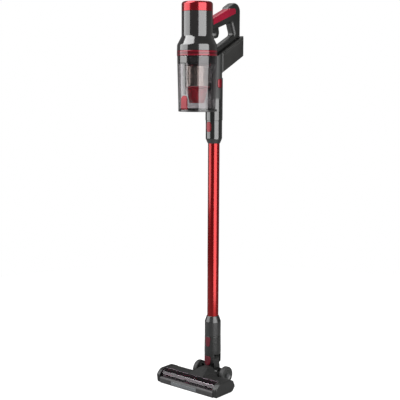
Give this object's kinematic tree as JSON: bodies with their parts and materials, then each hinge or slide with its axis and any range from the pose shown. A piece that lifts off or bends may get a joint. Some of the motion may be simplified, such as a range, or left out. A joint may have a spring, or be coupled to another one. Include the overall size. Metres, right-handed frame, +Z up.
{
  "type": "cordless stick vacuum",
  "caption": "Upright cordless stick vacuum: clear cyclone bin under a round motor unit, trigger handle with slanted battery, straight metal wand, swivelling neck and powered floor head.",
  "frame": {"origin": "on the floor, at the middle of the footprint of the whole vacuum standing upright", "axes": "+Z up along the wand, -Y forwards in the direction the floor head is pushed, +X to the user's left when standing behind the handle"},
  "size_m": [0.23, 0.2446, 1.1227],
  "materials": {
    "housing_black": "gloss",
    "ring_red": "metallic gloss",
    "inner_black": "matte",
    "motor_metal": "satin",
    "seal_rubber": "matte",
    "steel": "satin",
    "cap_red": "metallic gloss",
    "filter_paper": "matte",
    "bin_clear": "clear, smoke tinted",
    "satin_black": "satin",
    "trim_red": "satin",
    "shroud_mesh": "perforated",
    "cone_red": "gloss",
    "button_red": "satin",
    "duct_black": "gloss",
    "handle_black": "satin",
    "inlay_red": "satin",
    "battery_black": "fine grain",
    "cell_wrap": "sleeved",
    "wand_red": "anodised",
    "neck_black": "satin",
    "head_black": "satin",
    "window_smoke": "clear, smoke tinted",
    "bumper_black": "soft",
    "lens_grey": "frosted",
    "brush_core": "matte",
    "bristle_red": "bristle",
    "wheel_grey": "satin",
    "wheel_tyre": "matte"
  },
  "bodies": {
    "head": {"chassis": "head_black", "sole_plate": "head_black", "rear_squeegee": "seal_rubber", "top_cover": "head_black", "hump_cover": "head_black", "window": "window_smoke", "front_bumper": "bumper_black", "led_lens": "lens_grey", "end_cap_right": "head_black", "end_cap_left": "head_black", "drive_belt": "seal_rubber", "brush_bearings": "inner_black", "brush_motor": "motor_metal", "wheel_axles": "steel"},
    "brush": {"brush_roll": "brush_core", "brush_bristles": "bristle_red"},
    "brush_motor_rotor": {"motor_pulley": "steel"},
    "right_wheel": {"wheel_right": "wheel_grey", "tyre_right": "wheel_tyre"},
    "left_wheel": {"wheel_left": "wheel_grey", "tyre_left": "wheel_tyre"},
    "yoke": {"swivel_yoke": "neck_black"},
    "neck": {"neck_tube": "neck_black", "neck_trim": "trim_red", "swivel_pins": "neck_black"},
    "neck_latch": {"neck_button": "trim_red"},
    "wand": {"wand_lower_connector": "satin_black", "wand_tube": "wand_red", "wand_upper_connector": "duct_black"},
    "wand_latch": {"wand_button": "button_red"},
    "main_unit": {"motor_housing": "housing_black", "red_ring": "ring_red", "bulkhead": "inner_black", "motor_can": "motor_metal", "motor_mount": "seal_rubber", "inlet_duct": "duct_black", "handle_left": "handle_black", "handle_right": "handle_black", "grip_inlay": "inlay_red", "trigger_switch": "inner_black"},
    "fan_rotor": {"motor_shaft": "steel", "impeller": "inner_black"},
    "filter_unit": {"filter_cap": "cap_red", "hepa_filter": "filter_paper"},
    "dust_bin": {"bin_shell": "bin_clear", "lid_hinge_pin": "steel", "cyclone_top": "inner_black", "cyclone_ring": "trim_red", "cyclone_shroud": "shroud_mesh", "cyclone_cone": "cone_red", "latch_rail": "satin_black"},
    "lid": {"bin_lid": "satin_black", "lid_seal": "seal_rubber"},
    "lid_latch": {"lid_latch": "button_red"},
    "bin_release": {"bin_button": "button_red"},
    "trigger": {"trigger": "handle_black"},
    "battery": {"battery_case": "battery_black", "battery_top": "battery_black", "battery_cells": "cell_wrap"},
    "battery_release": {"battery_button": "satin_black"}
  },
  "joints": [
    {"name": "brush_spin", "type": "hinge", "parent": "head", "child": "brush", "pos_m": [0, -0.0845, 0.02], "axis": [1, 0, 0], "continuous": true},
    {"name": "brush_motor_spin", "type": "hinge", "parent": "head", "child": "brush_motor_rotor", "pos_m": [0, -0.0475, 0.021], "axis": [1, 0, 0], "continuous": true},
    {"name": "right_wheel_spin", "type": "hinge", "parent": "head", "child": "right_wheel", "pos_m": [0, 0.0125, 0.026], "axis": [1, 0, 0], "continuous": true},
    {"name": "left_wheel_spin", "type": "hinge", "parent": "head", "child": "left_wheel", "pos_m": [0, 0.0125, 0.026], "axis": [1, 0, 0], "continuous": true},
    {"name": "neck_tilt", "type": "hinge", "parent": "head", "child": "yoke", "pos_m": [0, 0.0125, 0.026], "axis": [-1, 0, 0], "range_deg": [0, 80]},
    {"name": "neck_swivel", "type": "hinge", "parent": "yoke", "child": "neck", "pos_m": [0, 0.0125, 0.068], "axis": [0, 1, 0], "range_deg": [-45, 45]},
    {"name": "neck_latch_press", "type": "slide", "parent": "neck", "child": "neck_latch", "axis": [0, 1, 0], "range_m": [0, 0.0012], "stiffness_N_per_m": 800},
    {"name": "wand_from_neck", "type": "slide", "parent": "neck", "child": "wand", "axis": [0, 0, 1], "range_m": [0, 0.03]},
    {"name": "wand_latch_press", "type": "slide", "parent": "wand", "child": "wand_latch", "axis": [0, 1, 0], "range_m": [0, 0.0022], "stiffness_N_per_m": 800},
    {"name": "main_unit_from_wand", "type": "slide", "parent": "wand", "child": "main_unit", "axis": [0, 0, 1], "range_m": [0, 0.03]},
    {"name": "fan_spin", "type": "hinge", "parent": "main_unit", "child": "fan_rotor", "pos_m": [0, -0.0645, 1], "axis": [0, 0, 1], "continuous": true},
    {"name": "filter_lift", "type": "slide", "parent": "main_unit", "child": "filter_unit", "axis": [0, 0, 1], "range_m": [0, 0.06]},
    {"name": "bin_slide", "type": "slide", "parent": "main_unit", "child": "dust_bin", "axis": [0, -1, 0], "range_m": [0, 0.12]},
    {"name": "lid_open", "type": "hinge", "parent": "dust_bin", "child": "lid", "pos_m": [0, -0.0185, 0.8127], "axis": [1, 0, 0], "range_deg": [0, 78]},
    {"name": "lid_latch_slide", "type": "slide", "parent": "dust_bin", "child": "lid_latch", "axis": [0, 0, -1], "range_m": [0, 0.004], "stiffness_N_per_m": 500},
    {"name": "bin_release_press", "type": "slide", "parent": "main_unit", "child": "bin_release", "axis": [-1, 0, 0], "range_m": [0, 0.0022], "stiffness_N_per_m": 800},
    {"name": "trigger_pull", "type": "hinge", "parent": "main_unit", "child": "trigger", "pos_m": [0, 0.0125, 1.053], "axis": [1, 0, 0], "range_deg": [0, 10], "stiffness_Nm_per_rad": 0.6, "springref_deg": -5.73},
    {"name": "battery_slide", "type": "slide", "parent": "main_unit", "child": "battery", "axis": [0, 0.8894, 0.4571], "range_m": [0, 0.11]},
    {"name": "battery_release_press", "type": "slide", "parent": "battery", "child": "battery_release", "axis": [0, -1, 0], "range_m": [0, 0.0018], "stiffness_N_per_m": 800}
  ],
  "couplings": [
    {"joint": "brush_motor_spin", "follows": "brush_spin", "ratio": 1.8333}
  ]
}
